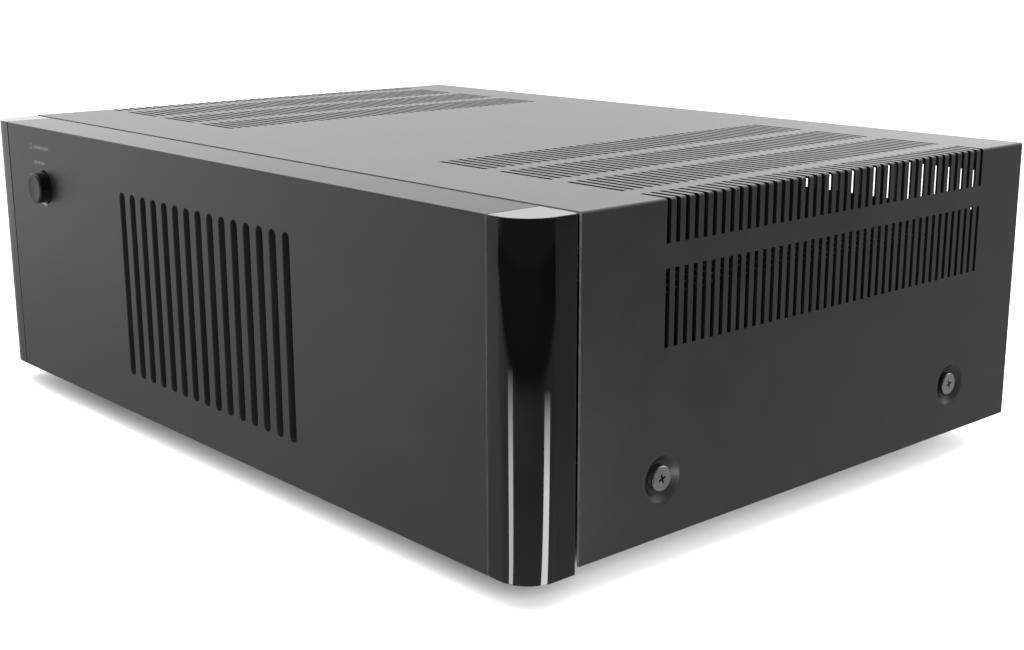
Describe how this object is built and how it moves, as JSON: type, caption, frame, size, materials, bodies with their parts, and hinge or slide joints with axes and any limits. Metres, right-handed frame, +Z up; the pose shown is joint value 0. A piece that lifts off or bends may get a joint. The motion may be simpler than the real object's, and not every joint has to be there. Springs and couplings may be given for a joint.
{
  "type": "power amplifier",
  "caption": "Full-width black stereo power amplifier with a slotted front panel, gloss end caps, vented steel cover, push power button and rear speaker terminals",
  "frame": {"origin": "on the ground, under the centre of the amplifier's outline", "axes": "+Z up; the front panel faces -Y; +X is the right-hand side seen from the front; metres"},
  "size_m": [0.431, 0.343, 0.1443],
  "materials": {
    "satin_black": "fine satin black powder coat",
    "gloss_black": "polished gloss black",
    "cover_black": "satin black powder coat on folded steel",
    "zinc_steel": "bright zinc plate",
    "screw_steel": "plain steel",
    "black_anodised": "black anodised extrusion",
    "button_grey": "smooth dark grey face",
    "black_plastic": "moulded matt",
    "rubber": "matt",
    "board_green": "solder-resist lacquer",
    "insulating_tape": "wound polyester tape",
    "capacitor_sleeve": "shrunk plastic sleeve",
    "terminal_red": "clear-lacquered red",
    "terminal_black": "gloss black",
    "nickel": "bright nickel plate"
  },
  "bodies": {
    "amplifier": {"bridge_rectifier": "black_plastic", "chassis_base": "zinc_steel", "front_left_cover_screw": "screw_steel", "front_left_foot": "black_plastic", "front_left_foot_pad": "rubber", "front_panel": "satin_black", "front_right_cover_screw": "screw_steel", "front_right_foot": "black_plastic", "front_right_foot_pad": "rubber", "front_subpanel": "black_anodised", "input_board": "board_green", "input_selector_switch": "black_plastic", "left_amplifier_board": "board_green", "left_end_cap": "gloss_black", "left_heat_sink": "black_anodised", "left_input_jack": "nickel", "left_negative_post": "nickel", "left_negative_pressure_ring": "nickel", "left_output_transistor_1": "black_plastic", "left_output_transistor_2": "black_plastic", "left_positive_post": "nickel", "left_positive_pressure_ring": "nickel", "left_rear_screw": "screw_steel", "mains_inlet": "black_plastic", "power_supply_board": "board_green", "power_switch": "black_plastic", "power_transformer": "insulating_tape", "rear_left_cover_screw": "screw_steel", "rear_left_foot": "black_plastic", "rear_left_foot_pad": "rubber", "rear_panel": "satin_black", "rear_right_cover_screw": "screw_steel", "rear_right_foot": "black_plastic", "rear_right_foot_pad": "rubber", "reservoir_capacitor_1": "capacitor_sleeve", "reservoir_capacitor_2": "capacitor_sleeve", "reservoir_capacitor_3": "capacitor_sleeve", "reservoir_capacitor_4": "capacitor_sleeve", "right_amplifier_board": "board_green", "right_end_cap": "gloss_black", "right_heat_sink": "black_anodised", "right_input_jack": "nickel", "right_negative_post": "nickel", "right_negative_pressure_ring": "nickel", "right_output_transistor_1": "black_plastic", "right_output_transistor_2": "black_plastic", "right_positive_post": "nickel", "right_positive_pressure_ring": "nickel", "right_rear_screw": "screw_steel", "top_cover": "cover_black", "transformer_bolt": "screw_steel", "transformer_clamp_plate": "zinc_steel", "transformer_pad": "rubber"},
    "power_button": {"power_button": "button_grey"},
    "input_selector_slider": {"input_selector_slider": "black_plastic"},
    "left_negative_cap": {"left_negative_cap": "terminal_black"},
    "left_positive_cap": {"left_positive_cap": "terminal_red"},
    "right_negative_cap": {"right_negative_cap": "terminal_black"},
    "right_positive_cap": {"right_positive_cap": "terminal_red"}
  },
  "joints": [
    {"name": "power_button_press", "type": "slide", "parent": "amplifier", "child": "power_button", "axis": [0, 1, 0], "range_m": [0, 0.002], "stiffness_N_per_m": 200, "springref_m": -0.0004},
    {"name": "input_selector_slide", "type": "slide", "parent": "amplifier", "child": "input_selector_slider", "axis": [1, 0, 0], "range_m": [0, 0.004]},
    {"name": "left_negative_cap_turn", "type": "hinge", "parent": "amplifier", "child": "left_negative_cap", "pos_m": [0.0185, 0.16, 0.068], "axis": [0, 1, 0], "continuous": true},
    {"name": "left_positive_cap_turn", "type": "hinge", "parent": "amplifier", "child": "left_positive_cap", "pos_m": [0.0375, 0.16, 0.068], "axis": [0, 1, 0], "continuous": true},
    {"name": "right_negative_cap_turn", "type": "hinge", "parent": "amplifier", "child": "right_negative_cap", "pos_m": [-0.0675, 0.16, 0.068], "axis": [0, 1, 0], "continuous": true},
    {"name": "right_positive_cap_turn", "type": "hinge", "parent": "amplifier", "child": "right_positive_cap", "pos_m": [-0.0485, 0.16, 0.068], "axis": [0, 1, 0], "continuous": true}
  ]
}
